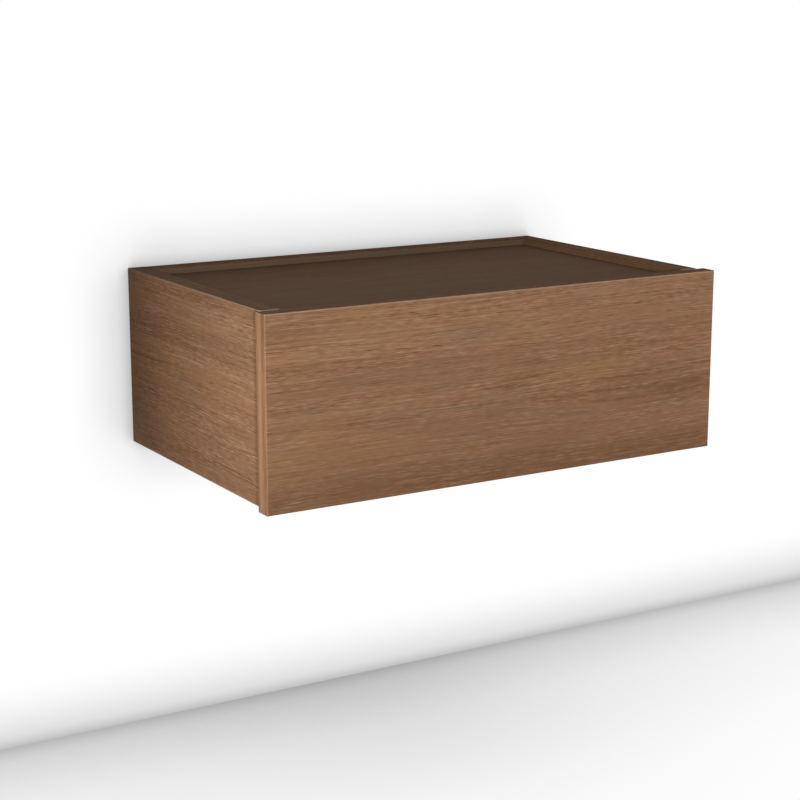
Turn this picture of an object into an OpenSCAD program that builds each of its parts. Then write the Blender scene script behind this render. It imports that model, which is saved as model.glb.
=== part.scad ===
// Wall-hung shelf box with one full-overlay drawer on ball-bearing slides.
// Millimetres, +Z up. The back lies in the wall plane y = 0 and the drawer front faces -Y.
// The origin is the centre of the four wall holes, at half the height of the drawer front.

/* [Drawer front] */
// Width of the drawer front
front_w = 500; // [380:1:900]
// Height of the drawer front
front_h = 180; // [160:1:320]
// Thickness of the drawer front
front_t = 18; // [16:0.5:25]
// Gap between the closed drawer front and the carcass
front_gap = 3; // [1:0.5:5]

/* [Carcass] */
// Depth of the carcass, from the wall to its front edges
carcass_d = 294; // [240:1:500]
// Distance that the drawer front stands past the carcass on each side
side_overhang = 6; // [0:0.5:12]
// Distance that the drawer front reaches below the carcass
bottom_overhang = 1; // [0:0.5:5]
// Depth of the top panel below the rim
top_recess = 7; // [3:0.5:20]
// Thickness of the two side panels
side_t = 19; // [16:0.5:25]
// Thickness of the top panel
top_t = 18; // [16:0.5:25]
// Thickness of the bottom panel
bottom_t = 18; // [16:0.5:25]
// Thickness of the back panel
back_t = 18; // [16:0.5:25]

/* [Edge bands] */
// Thickness of the glued edge bands
band_t = 1; // [0.4:0.1:2]
// Rounding of the edge bands' outer arrises
band_r = 0.8; // [0.2:0.1:0.9]

/* [Wall holes] */
// Diameter of the wall screw holes in the back panel
wall_hole_d = 6.5; // [5:0.5:10]
// Distance between the wall holes across the back
wall_hole_w = 360; // [200:1:380]
// Distance between the wall holes up the back
wall_hole_h = 90; // [60:1:100]

/* [Drawer box] */
// Thickness of the drawer box boards
box_t = 12; // [12:0.5:16]
// Thickness of the drawer bottom
box_bottom_t = 5; // [3:0.5:8]
// Height of the drawer bottom above the lower edge of the box
box_bottom_up = 10; // [6:0.5:14]
// Depth of the groove that holds the drawer bottom
groove_d = 5; // [3:0.5:7]
// Free space between the drawer box and the bottom panel
box_clear_below = 7; // [3:0.5:20]
// Free space between the drawer box and the top panel
box_clear_above = 9; // [4:0.5:30]
// Rounding of the drawer box's top edges
box_edge_r = 1.5; // [0.5:0.1:3]

/* [Slides] */
// Height of the outer rail
rail_h = 45; // [42:0.5:50]
// Thickness of a closed slide, from the side panel to the drawer box
slide_t = 12.7; // [12.2:0.1:14]
// Thickness of the rolled steel
steel_t = 1.2; // [1:0.05:1.4]
// Diameter of the bearing balls
ball_d = 4; // [3.5:0.1:4.4]
// Running gap between a ball and its race
race_play = 0.2; // [0.1:0.05:0.3]
// Depth of the race grooves
race_d = 0.7; // [0.4:0.1:0.9]
// Steel left between the two grooves of the middle rail
race_land = 1; // [0.6:0.1:1.4]
// Distance between balls along a cage
ball_pitch = 15; // [8:0.5:30]
// Sheet thickness of the ball cages
cage_t = 0.5; // [0.4:0.05:0.6]
// Gap between a ball cage and the rails
cage_play = 0.3; // [0.2:0.05:0.4]
// Distance of the slides behind the carcass's front edges
rail_setback = 2; // [1:0.5:10]
// Thickness of the rubber stop at the rear of a slide
stop_t = 6; // [3:0.5:10]
// Free space between the drawer box and the back panel
rear_space = 24; // [16:0.5:60]

/* [Fittings] */
// Diameter of a cam lock
cam_d = 15; // [12:0.5:16]
// Distance of a cam lock from the end of its board
cam_reach = 24; // [20:0.5:34]
// Diameter of a cam bolt's thread
bolt_d = 6; // [5:0.5:7]
// Depth of a cam bolt in its panel
bolt_depth = 11; // [8:0.5:13]
// Diameter of the wooden dowels
dowel_d = 8; // [6:0.5:10]
// Length of the wooden dowels
dowel_l = 30; // [24:1:40]
// Depth of a dowel in the face of a panel
dowel_depth = 12; // [8:0.5:13]
// Distance of the first fitting from the edge of a panel
fit_edge = 37; // [30:1:50]
// Distance from a cam lock to the dowel beside it
fit_step = 32; // [20:1:40]
// Diameter of the rubber bumpers behind the drawer front
bumper_d = 10; // [6:0.5:14]
// Diameter of the slide screws
screw_d = 3.5; // [3:0.1:4]
// Diameter of the drawer box's corner screws
corner_screw_d = 4; // [3:0.1:4.5]
// Diameter of the screws that hold the drawer front
front_screw_d = 4; // [3:0.1:4.5]

/* [Hidden] */
$fn = 48;

// Colours as the photograph shows them, and of the usual fittings
walnut = "#8D6950";
walnut_dark = "#4F3F31";
walnut_edge = "#916D52";
birch = "#D9BE93";
beech = "#C79B6B";
zinc = "#B9BDC0";
steel_colour = "#C9CCCE";
cage_colour = "#8F9498";
rubber_colour = "#2B2B2C";

// Small allowances
cut = 1;
pin_play = 0.05;
end_play = 0.5;
groove_play = 0.1;

// Carcass planes
carcass_w = front_w - 2 * side_overhang;
inner_w = carcass_w - 2 * side_t;
inner_x = inner_w / 2;
rim_z = front_h / 2;
underside_z = -front_h / 2 + bottom_overhang;
tray_z = rim_z - top_recess;
roof_z = tray_z - top_t;
floor_z = underside_z + bottom_t;
edge_y = -carcass_d;
core_y = edge_y + band_t;

// Drawer front planes
front_back_y = edge_y - front_gap;
front_face_y = front_back_y - front_t;
front_x = front_w / 2;
front_z = front_h / 2;

// Drawer box planes
box_w = inner_w - 2 * slide_t;
box_x = box_w / 2;
box_in_x = box_x - box_t;
box_low_z = floor_z + box_clear_below;
box_top_z = roof_z - box_clear_above;
box_h = box_top_z - box_low_z;
box_back_y = -back_t - rear_space;
box_len = box_back_y - front_back_y;
bottom_low_z = box_low_z + box_bottom_up;
rail_z = (box_low_z + box_top_z) / 2;

// Slide section, from the panel face outwards and up from the slide's centre line
race_r = ball_d / 2 + race_play;
row_out = rail_h / 2 - steel_t - race_r;
row_in = row_out - 2 * race_r - race_land;
race_flat = race_r - race_d;
cage_out_u = steel_t + cage_play;
middle_u = cage_out_u + cage_t + cage_play;
cage_in_u = middle_u + steel_t + cage_play;
inner_flange_u = cage_in_u + cage_t + cage_play;
bead_r = race_r + steel_t;
ball_u = inner_flange_u + bead_r - cage_play / 2;
flange_gap = 1;
flange_u = slide_t - flange_gap;
cage_edge_u = ball_u + ball_d / 2 + cage_t;

// Slide lengths: a cage stays between its two rails over the whole travel
rail_front_y = edge_y + rail_setback;
rail_back_y = box_back_y;
rail_l = rail_back_y - rail_front_y;
rail_mid_y = (rail_front_y + rail_back_y) / 2;
cage_end_gap = 5;
cage_l = rail_l / 2 - cage_end_gap;
ball_count = floor((cage_l - ball_pitch) / ball_pitch) + 1;
ball_hole_play = 0.1;
bridge_l = 10;
access_d = 9;
slot_l = 14;
slot_w = 4.6;

// Screw heads and places
slide_head_d = 6.8;
slide_screw_l = 15;
box_screw_l = 10;
box_head_h = 2;
rail_screw_front = 35;
rail_screw_rear = 25;
screw_y = [rail_front_y + rail_screw_front, rail_mid_y, rail_back_y - rail_screw_rear];
slot_y = [(screw_y[0] + screw_y[1]) / 2, (screw_y[1] + screw_y[2]) / 2];
corner_head_d = 8;
corner_screw_l = 38;
corner_screw_up = 26;
corner_screw_down = 18;
front_head_d = 8.5;
front_head_h = 2.4;
front_screw_l = 24;
front_screw_in = 55;
front_screw_rise = 35;
recess_w = 1;
recess_depth = 1.1;

// Cam lock and bolt details
cam_past = 4.5;
cam_end_gap = 0.2;
shank_d = 5;
shank_bore_d = 8;
bolt_head_d = 7;
bolt_head_gap = 0.3;
bolt_head_l = 3;
cam_cross_w = 1.8;
cam_cross_l = 8;
cam_cross_depth = 2.5;
panel_cam_y = [edge_y + fit_edge, -back_t - fit_edge];
panel_dowel_y = [edge_y + fit_edge + fit_step, -back_t - fit_edge - fit_step];
back_cam_z = [underside_z + bottom_t + fit_edge, tray_z - top_t - fit_edge];
back_dowel_gap = 16;
back_dowel_z = [rail_z - back_dowel_gap, rail_z + back_dowel_gap];
rear_dowel_x = 100;
bumper_edge = 25;

// Shared building blocks

module both_hands() {
    children();
    mirror([1, 0, 0]) children();
}

module along_y(y0, y1) {
    translate([0, y1, 0]) rotate([90, 0, 0]) linear_extrude(height = y1 - y0) children();
}

module box_between(low, high) {
    translate(low) cube(high - low);
}

// Edge band: length along X, width along Y, thickness up, outer arrises rounded
module edge_band(length, width) {
    rotate([90, 0, 90]) linear_extrude(height = length) intersection() {
        square([width, band_t]);
        union() {
            square([width, band_t - band_r]);
            translate([band_r, 0]) square([width - 2 * band_r, band_t]);
            for (u = [band_r, width - band_r]) translate([u, band_t - band_r]) circle(r = band_r);
        }
    }
}

module cross_recess(length, width, depth) {
    for (a = [0, 90]) rotate([0, 0, a]) translate([-length / 2, -width / 2, -depth])
        cube([length, width, 2 * depth]);
}

// Countersunk screw driven along +Z, its head's face at z = 0
module countersunk_screw(length, d, head_d) {
    difference() {
        countersunk_form(length - d, d, head_d, 0);
        cross_recess(head_d / 2, recess_w, recess_depth);
    }
    translate([0, 0, length - d]) cylinder(h = d, d1 = d, d2 = d / 6);
}

module countersunk_form(length, d, head_d, play) {
    cylinder(h = length, d = d + 2 * play);
    cylinder(h = (head_d - d) / 2, d1 = head_d + 2 * play, d2 = d + 2 * play);
}

module countersunk_bore(length, d, head_d) {
    countersunk_form(length + end_play, d, head_d, pin_play);
    translate([0, 0, -cut]) cylinder(h = cut, d = head_d + 2 * pin_play);
}

// Pan head screw driven along +Z, the underside of its head at z = 0
module pan_screw(length, d, head_d, head_h) {
    difference() {
        translate([0, 0, -head_h]) {
            cylinder(h = head_h / 2, d1 = head_d - head_h, d2 = head_d);
            translate([0, 0, head_h / 2]) cylinder(h = head_h / 2, d = head_d);
        }
        translate([0, 0, -head_h]) cross_recess(head_d / 2, recess_w, recess_depth);
    }
    cylinder(h = length - d, d = d);
    translate([0, 0, length - d]) cylinder(h = d, d1 = d, d2 = d / 6);
}

module pan_bore(length, d) {
    translate([0, 0, -cut]) cylinder(h = length + end_play + cut, d = d + 2 * pin_play);
}

// Carcass joints on the left: X runs into the board, -Z faces the inside of the carcass

module at_top_joints(places) {
    for (y = places) translate([-inner_x, y, (tray_z + roof_z) / 2]) children();
}

module at_bottom_joints(places) {
    for (y = places) translate([-inner_x, y, (underside_z + floor_z) / 2])
        mirror([0, 0, 1]) children();
}

module at_back_joints(places) {
    for (z = places) translate([-inner_x, -back_t / 2, z]) rotate([-90, 0, 0]) children();
}

module at_left_cams() {
    at_top_joints(panel_cam_y) children();
    at_bottom_joints(panel_cam_y) children();
    at_back_joints(back_cam_z) children();
}

module at_left_dowels() {
    at_top_joints(panel_dowel_y) children();
    at_bottom_joints(panel_dowel_y) children();
    at_back_joints(back_dowel_z) children();
}

// Dowels between the back panel and the top or bottom panel: X runs into the board
module at_rear_dowels(z) {
    for (x = [-rear_dowel_x, rear_dowel_x]) translate([x, -back_t, z])
        rotate([0, 0, -90]) children();
}

module cam_lock(board_t) {
    depth = board_t / 2 + cam_past - cam_end_gap;
    difference() {
        translate([cam_reach, 0, -board_t / 2]) cylinder(h = depth, d = cam_d - 2 * pin_play);
        rotate([0, 90, 0]) cylinder(h = cam_reach + bolt_head_l, d = bolt_head_d + 2 * bolt_head_gap);
        translate([cam_reach, 0, -board_t / 2])
            cross_recess(cam_cross_l, cam_cross_w, cam_cross_depth);
    }
}

module cam_bore(board_t) {
    translate([cam_reach, 0, -board_t / 2 - cut])
        cylinder(h = board_t / 2 + cam_past + cut, d = cam_d);
    translate([-cut, 0, 0]) rotate([0, 90, 0]) cylinder(h = cam_reach + cut, d = shank_bore_d);
}

module cam_bolt() {
    rotate([0, 90, 0]) {
        translate([0, 0, -bolt_depth]) cylinder(h = bolt_depth, d = bolt_d);
        cylinder(h = cam_reach, d = shank_d);
        translate([0, 0, cam_reach - bolt_head_l / 2])
            cylinder(h = bolt_head_l, d = bolt_head_d);
    }
}

module bolt_bore() {
    translate([-bolt_depth - end_play, 0, 0]) rotate([0, 90, 0])
        cylinder(h = bolt_depth + end_play + cut, d = bolt_d + 2 * pin_play);
}

module dowel() {
    translate([-dowel_depth, 0, 0]) rotate([0, 90, 0]) cylinder(h = dowel_l, d = dowel_d);
}

module dowel_bore() {
    translate([-dowel_depth - end_play, 0, 0]) rotate([0, 90, 0])
        cylinder(h = dowel_l + 2 * end_play, d = dowel_d + 2 * pin_play);
}

// Carcass panels

module side_board() {
    difference() {
        box_between([-carcass_w / 2, core_y, underside_z + band_t], [-inner_x, 0, rim_z - band_t]);
        at_left_cams() bolt_bore();
        at_left_dowels() dowel_bore();
        at_outer_screws() outer_screw_bore();
    }
}

module left_side() color(walnut) side_board();

module right_side() color(walnut) mirror([1, 0, 0]) side_board();

module top_panel() color(walnut_dark) difference() {
    box_between([-inner_x, core_y, roof_z], [inner_x, -back_t, tray_z]);
    both_hands() {
        at_top_joints(panel_cam_y) cam_bore(top_t);
        at_top_joints(panel_dowel_y) dowel_bore();
    }
    at_rear_dowels((tray_z + roof_z) / 2) dowel_bore();
}

module bottom_panel() color(walnut) difference() {
    box_between([-inner_x, core_y, underside_z], [inner_x, -back_t, floor_z]);
    both_hands() {
        at_bottom_joints(panel_cam_y) cam_bore(bottom_t);
        at_bottom_joints(panel_dowel_y) dowel_bore();
    }
    at_rear_dowels((underside_z + floor_z) / 2) dowel_bore();
}

module back_panel() color(walnut) difference() {
    box_between([-inner_x, -back_t, underside_z + band_t], [inner_x, 0, rim_z - band_t]);
    both_hands() {
        at_back_joints(back_cam_z) cam_bore(back_t);
        at_back_joints(back_dowel_z) dowel_bore();
    }
    at_rear_dowels((tray_z + roof_z) / 2) dowel_bore();
    at_rear_dowels((underside_z + floor_z) / 2) dowel_bore();
    for (x = [-1, 1], z = [-1, 1])
        translate([x * wall_hole_w / 2, cut, z * wall_hole_h / 2]) rotate([90, 0, 0])
            cylinder(h = back_t + 2 * cut, d = wall_hole_d);
}

// Edge bands of the carcass

module side_front_band() {
    translate([-carcass_w / 2, core_y, rim_z]) rotate([0, 90, -90])
        edge_band(rim_z - underside_z, side_t);
}

module side_top_band() {
    translate([-inner_x, core_y, rim_z - band_t]) rotate([0, 0, 90])
        edge_band(carcass_d - band_t, side_t);
}

module side_bottom_band() {
    translate([-inner_x, core_y, underside_z + band_t]) mirror([0, 0, 1]) rotate([0, 0, 90])
        edge_band(carcass_d - band_t, side_t);
}

module left_side_front_band() color(walnut_edge) side_front_band();

module left_side_top_band() color(walnut_dark) side_top_band();

module left_side_bottom_band() color(walnut_edge) side_bottom_band();

module right_side_front_band() color(walnut_edge) mirror([1, 0, 0]) side_front_band();

module right_side_top_band() color(walnut_dark) mirror([1, 0, 0]) side_top_band();

module right_side_bottom_band() color(walnut_edge) mirror([1, 0, 0]) side_bottom_band();

module top_panel_front_band() color(walnut_edge)
    translate([-inner_x, core_y, roof_z]) rotate([90, 0, 0]) edge_band(inner_w, top_t);

module bottom_panel_front_band() color(walnut_edge)
    translate([-inner_x, core_y, underside_z]) rotate([90, 0, 0]) edge_band(inner_w, bottom_t);

module back_panel_top_band() color(walnut_dark)
    translate([-inner_x, -back_t, rim_z - band_t]) edge_band(inner_w, back_t);

module back_panel_bottom_band() color(walnut_edge)
    translate([-inner_x, -back_t, underside_z + band_t]) mirror([0, 0, 1])
        edge_band(inner_w, back_t);

// Carcass fittings

module cam_locks() color(zinc) both_hands() {
    at_top_joints(panel_cam_y) cam_lock(top_t);
    at_bottom_joints(panel_cam_y) cam_lock(bottom_t);
    at_back_joints(back_cam_z) cam_lock(back_t);
}

module cam_bolts() color(steel_colour) both_hands() at_left_cams() cam_bolt();

module dowels() color(beech) {
    both_hands() at_left_dowels() dowel();
    at_rear_dowels((tray_z + roof_z) / 2) dowel();
    at_rear_dowels((underside_z + floor_z) / 2) dowel();
}

module front_bumpers() color(rubber_colour) both_hands()
    for (z = [underside_z + bumper_edge, rim_z - bumper_edge])
        translate([-inner_x - side_t / 2, edge_y, z]) rotate([90, 0, 0])
            cylinder(h = front_gap, d = bumper_d);

// Drawer front

module drawer_front() color(walnut) difference() {
    box_between([-front_x + band_t, front_face_y, -front_z + band_t],
        [front_x - band_t, front_back_y, front_z - band_t]);
    at_front_screws() pan_bore(front_screw_l, front_screw_d);
}

module front_side_band() {
    translate([-front_x + band_t, front_face_y, -front_z]) rotate([0, -90, 0])
        edge_band(front_h, front_t);
}

module front_level_band() {
    translate([-front_x + band_t, front_face_y, front_z - band_t])
        edge_band(front_w - 2 * band_t, front_t);
}

module drawer_front_left_band() color(walnut_edge) front_side_band();

module drawer_front_right_band() color(walnut_edge) mirror([1, 0, 0]) front_side_band();

module drawer_front_top_band() color(walnut_dark) front_level_band();

module drawer_front_bottom_band() color(walnut_edge) mirror([0, 0, 1]) front_level_band();

// Drawer box

// Section of a box board with its two top edges rounded
module board_section(t, h) {
    square([t, h - box_edge_r]);
    translate([box_edge_r, 0]) square([t - 2 * box_edge_r, h]);
    for (u = [box_edge_r, t - box_edge_r]) translate([u, h - box_edge_r]) circle(r = box_edge_r);
}

module bottom_plate(play) {
    reach = groove_d - end_play + play * end_play / groove_play;
    box_between([-box_in_x - reach, front_back_y + box_t - reach, bottom_low_z],
        [box_in_x + reach, box_back_y - box_t + reach, bottom_low_z + box_bottom_t + play]);
}

module box_side() {
    difference() {
        translate([-box_x, 0, box_low_z]) along_y(front_back_y, box_back_y)
            board_section(box_t, box_h);
        bottom_plate(groove_play);
        at_corner_screws() countersunk_bore(corner_screw_l, corner_screw_d, corner_head_d);
        at_inner_screws() pan_bore(box_screw_l, screw_d);
    }
}

// Cross board of the box whose outer face is at y = 0, towards -Y
module cross_board() {
    translate([-box_in_x, 0, box_low_z]) rotate([90, 0, 90])
        linear_extrude(height = 2 * box_in_x) board_section(box_t, box_h);
}

module drawer_left_side() color(birch) box_side();

module drawer_right_side() color(birch) mirror([1, 0, 0]) box_side();

module drawer_inner_front() color(birch) difference() {
    translate([0, front_back_y, 0]) cross_board();
    bottom_plate(groove_play);
    both_hands() at_corner_screws() countersunk_bore(corner_screw_l, corner_screw_d, corner_head_d);
    at_front_screws() pan_bore(front_screw_l, front_screw_d);
}

module drawer_back() color(birch) difference() {
    translate([0, box_back_y - box_t, 0]) cross_board();
    bottom_plate(groove_play);
    both_hands() at_corner_screws() countersunk_bore(corner_screw_l, corner_screw_d, corner_head_d);
}

module drawer_bottom() color(birch) bottom_plate(0);

// Corner screws run along X from the outside of the left box side
module at_corner_screws() {
    for (y = [front_back_y + box_t / 2, box_back_y - box_t / 2],
            z = [box_low_z + corner_screw_up, box_top_z - corner_screw_down])
        translate([-box_x, y, z]) rotate([0, 90, 0]) children();
}

// Front screws run along -Y from the inside of the drawer
module at_front_screws() {
    for (x = [-1, 1], z = [-1, 1])
        translate([x * (box_in_x - front_screw_in), front_back_y + box_t,
                rail_z + z * front_screw_rise])
            rotate([90, 0, 0]) children();
}

module drawer_corner_screws() color(steel_colour) both_hands() at_corner_screws()
    countersunk_screw(corner_screw_l, corner_screw_d, corner_head_d);

module drawer_front_screws() color(steel_colour) at_front_screws()
    pan_screw(front_screw_l, front_screw_d, front_head_d, front_head_h);

// Slides: X runs from the side panel's face towards the drawer, Z up from the centre line

module at_left_slide() {
    translate([-inner_x, 0, rail_z]) children();
}

module both_rows(row) {
    for (s = [0, 1]) mirror([0, s]) translate([ball_u, row]) children();
}

// C-shaped section: the back of its web lies at u = 0, its flanges reach to u = reach
module c_section(reach, half_h, web_t, flange_t) {
    polygon([[0, -half_h], [reach, -half_h], [reach, flange_t - half_h],
        [web_t, flange_t - half_h], [web_t, half_h - flange_t], [reach, half_h - flange_t],
        [reach, half_h], [0, half_h]]);
}

// The outer rail's flanges bulge outwards round the balls
module outer_section() {
    flat = row_out + race_flat;
    difference() {
        translate([0, -rail_h / 2 - cut]) square([flange_u, rail_h + 2 * cut]);
        translate([steel_t, -flat]) square([slide_t, 2 * flat]);
        both_rows(row_out) difference() {
            translate([-ball_u - cut, race_flat + steel_t]) square([slide_t + cut, 2 * bead_r]);
            circle(r = bead_r);
        }
        both_rows(row_out) circle(r = race_r);
    }
}

module middle_section() {
    high = row_out - race_flat;
    low = row_in + race_flat;
    difference() {
        translate([middle_u, 0]) c_section(flange_u - middle_u, high, steel_t, high - low);
        both_rows(row_out) circle(r = race_r);
        both_rows(row_in) circle(r = race_r);
    }
}

// The inner rail's flanges bulge inwards round the balls
module inner_section() {
    flat = row_in - race_flat;
    difference() {
        translate([inner_flange_u, -flat]) square([slide_t - inner_flange_u, 2 * flat]);
        difference() {
            translate([0, steel_t - flat]) square([slide_t - steel_t, 2 * (flat - steel_t)]);
            both_rows(row_in) circle(r = bead_r);
        }
        both_rows(row_in) circle(r = race_r);
    }
}

module cage_section(u, row) {
    translate([u, 0]) c_section(cage_edge_u - u, row + cage_t / 2, cage_t, cage_t);
}

// Slot with round ends along Y through a rail's web
module web_slot() {
    rotate([0, 90, 0]) linear_extrude(height = 2 * slide_t, center = true) {
        square([slot_w, slot_l - slot_w], center = true);
        for (s = [-1, 1]) translate([0, s * (slot_l - slot_w) / 2]) circle(d = slot_w);
    }
}

module outer_rail() {
    difference() {
        along_y(rail_front_y, rail_back_y + stop_t) outer_section();
        for (y = screw_y) translate([steel_t, y, 0]) rotate([0, -90, 0])
            countersunk_bore(slide_screw_l, screw_d, slide_head_d);
        for (y = slot_y) translate([0, y, 0]) web_slot();
    }
}

module middle_rail() {
    difference() {
        along_y(rail_front_y, rail_back_y) middle_section();
        for (y = screw_y) translate([0, y, 0]) rotate([0, 90, 0])
            cylinder(h = slide_t, d = access_d);
        for (y = slot_y) translate([0, y, 0]) web_slot();
    }
}

module inner_rail() {
    difference() {
        along_y(rail_front_y, rail_back_y) inner_section();
        for (y = screw_y) translate([slide_t - steel_t, y, 0]) rotate([0, 90, 0])
            pan_bore(box_screw_l, screw_d);
        for (y = slot_y) translate([slide_t, y, 0]) web_slot();
    }
}

// Places of the balls along a cage, about the middle of the slide
function ball_places() = [for (i = [0 : ball_count - 1])
    rail_mid_y + (i - (ball_count - 1) / 2) * ball_pitch];

module cage(u, row) {
    window_l = (cage_l - 3 * bridge_l) / 2;
    window_h = 2 * (row - ball_d);
    difference() {
        along_y(rail_mid_y - cage_l / 2, rail_mid_y + cage_l / 2) cage_section(u, row);
        for (s = [-1, 1])
            translate([u - cage_play / 2, rail_mid_y + s * (bridge_l + window_l) / 2 - window_l / 2,
                    -window_h / 2])
                cube([cage_t + cage_play, window_l, window_h]);
        for (y = ball_places()) translate([ball_u, y, 0])
            cylinder(h = 2 * row + ball_d, d = ball_d + 2 * ball_hole_play, center = true);
    }
}

module balls(row) {
    for (y = ball_places(), s = [-1, 1]) translate([ball_u, y, s * row]) sphere(d = ball_d);
}

module left_outer_rail() color(steel_colour) at_left_slide() outer_rail();

module right_outer_rail() color(steel_colour) mirror([1, 0, 0]) at_left_slide() outer_rail();

module left_middle_rail() color(steel_colour) at_left_slide() middle_rail();

module right_middle_rail() color(steel_colour) mirror([1, 0, 0]) at_left_slide() middle_rail();

module left_inner_rail() color(steel_colour) at_left_slide() inner_rail();

module right_inner_rail() color(steel_colour) mirror([1, 0, 0]) at_left_slide() inner_rail();

module left_outer_cage() color(cage_colour) at_left_slide() cage(cage_out_u, row_out);

module right_outer_cage() color(cage_colour) mirror([1, 0, 0]) at_left_slide()
    cage(cage_out_u, row_out);

module left_inner_cage() color(cage_colour) at_left_slide() cage(cage_in_u, row_in);

module right_inner_cage() color(cage_colour) mirror([1, 0, 0]) at_left_slide()
    cage(cage_in_u, row_in);

module left_outer_balls() color(zinc) at_left_slide() balls(row_out);

module right_outer_balls() color(zinc) mirror([1, 0, 0]) at_left_slide() balls(row_out);

module left_inner_balls() color(zinc) at_left_slide() balls(row_in);

module right_inner_balls() color(zinc) mirror([1, 0, 0]) at_left_slide() balls(row_in);

// Outer rail screws run into the side panel, inner rail screws into the drawer box

module at_outer_screws() {
    at_left_slide() for (y = screw_y) translate([steel_t, y, 0]) rotate([0, -90, 0]) children();
}

module outer_screw_bore() {
    countersunk_bore(slide_screw_l, screw_d, slide_head_d);
}

module at_inner_screws() {
    at_left_slide() for (y = screw_y) translate([slide_t - steel_t, y, 0])
        rotate([0, 90, 0]) children();
}

module outer_rail_screws() color(steel_colour) both_hands() at_outer_screws()
    countersunk_screw(slide_screw_l, screw_d, slide_head_d);

module inner_rail_screws() color(steel_colour) both_hands() at_inner_screws()
    pan_screw(box_screw_l, screw_d, slide_head_d, box_head_h);

module rail_stops() color(rubber_colour) both_hands() at_left_slide()
    box_between([steel_t, rail_back_y, -row_in], [flange_u, rail_back_y + stop_t, row_in]);

left_side();
right_side();
top_panel();
bottom_panel();
back_panel();
left_side_front_band();
left_side_top_band();
left_side_bottom_band();
right_side_front_band();
right_side_top_band();
right_side_bottom_band();
top_panel_front_band();
bottom_panel_front_band();
back_panel_top_band();
back_panel_bottom_band();
cam_locks();
cam_bolts();
dowels();
front_bumpers();
drawer_front();
drawer_front_left_band();
drawer_front_right_band();
drawer_front_top_band();
drawer_front_bottom_band();
drawer_left_side();
drawer_right_side();
drawer_inner_front();
drawer_back();
drawer_bottom();
drawer_corner_screws();
drawer_front_screws();
left_outer_rail();
right_outer_rail();
left_middle_rail();
right_middle_rail();
left_inner_rail();
right_inner_rail();
left_outer_cage();
right_outer_cage();
left_inner_cage();
right_inner_cage();
left_outer_balls();
right_outer_balls();
left_inner_balls();
right_inner_balls();
outer_rail_screws();
inner_rail_screws();
rail_stops();
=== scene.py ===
"""Looks of a wall-hung walnut shelf box with one full-width drawer.

Lengths are in metres in the part's own frame: +X to the right, +Y into the wall, +Z up, and the
origin lies in the wall plane at the centre of the four wall holes.
"""

import math

import bmesh
import bpy
from bpy.props import FloatProperty, FloatVectorProperty, PointerProperty
from bpy.types import Operator, Panel, PropertyGroup
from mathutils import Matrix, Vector


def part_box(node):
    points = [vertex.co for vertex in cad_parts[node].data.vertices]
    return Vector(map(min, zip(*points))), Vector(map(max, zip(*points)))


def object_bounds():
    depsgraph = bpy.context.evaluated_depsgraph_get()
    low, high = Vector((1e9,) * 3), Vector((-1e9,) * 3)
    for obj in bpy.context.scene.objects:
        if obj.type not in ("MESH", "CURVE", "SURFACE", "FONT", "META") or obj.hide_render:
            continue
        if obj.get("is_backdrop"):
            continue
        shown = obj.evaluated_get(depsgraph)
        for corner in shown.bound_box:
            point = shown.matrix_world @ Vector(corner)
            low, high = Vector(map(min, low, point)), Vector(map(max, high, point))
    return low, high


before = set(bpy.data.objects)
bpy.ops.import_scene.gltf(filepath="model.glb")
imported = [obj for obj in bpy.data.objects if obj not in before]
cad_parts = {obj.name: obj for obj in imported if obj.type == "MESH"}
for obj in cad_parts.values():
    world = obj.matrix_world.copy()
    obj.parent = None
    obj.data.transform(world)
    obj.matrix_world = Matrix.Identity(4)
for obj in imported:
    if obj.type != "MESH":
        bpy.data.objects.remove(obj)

bl_info = {
    "name": "Wall Shelf with Drawer",
    "version": (1, 0, 0),
    "blender": (4, 5, 0),
    "location": "3D View > Sidebar > Shelf",
    "description": "Finishes a wall-hung walnut shelf box with a drawer and sets its stage",
    "category": "Object",
}

MM = 0.001
# Place of the wall on Y
WALL = 0.0
BLACK = (0, 0, 0)
WHITE = (1, 1, 1)


def linear(code):
    """Linear colour of an sRGB hex code such as 8B674E."""
    parts = [int(code[i:i + 2], 16) / 255 for i in (0, 2, 4)]
    return [c / 12.92 if c <= 0.04045 else ((c + 0.055) / 1.055) ** 2.4 for c in parts]


def toned(colour, share):
    """Colour at a share of its brightness."""
    return [min(1, c * share) for c in colour]


def add(tree, kind, sockets=None, **settings):
    """Adds a node with its settings, and sets or links the sockets that are given."""
    made = tree.nodes.new(kind)
    for name, value in settings.items():
        setattr(made, name, value)
    for key, value in (sockets or {}).items():
        socket = made.inputs[key]
        if isinstance(value, bpy.types.NodeSocket):
            tree.links.new(value, socket)
        elif socket.type == "RGBA":
            socket.default_value = (*value[:3], 1.0)
        else:
            socket.default_value = value
    return made


def new_material(name):
    """Empty node material and its tree."""
    made = bpy.data.materials.new(name)
    made.use_nodes = True
    made.node_tree.nodes.clear()
    return made, made.node_tree


def surface(tree, sockets, relief, strength, depth):
    """Ends a material in a shader with these sockets, over a relief of the given depth."""
    bump = add(tree, "ShaderNodeBump", {"Strength": strength, "Distance": depth, "Height": relief})
    shader = add(tree, "ShaderNodeBsdfPrincipled", {"Normal": bump.outputs[0], **sockets})
    add(tree, "ShaderNodeOutputMaterial", {"Surface": shader.outputs[0]})


def put_on(names, material):
    """Gives every slot of these nodes the material."""
    for name in names:
        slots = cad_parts[name].data.materials
        if not len(slots):
            slots.append(material)
        for i in range(len(slots)):
            slots[i] = material


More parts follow.
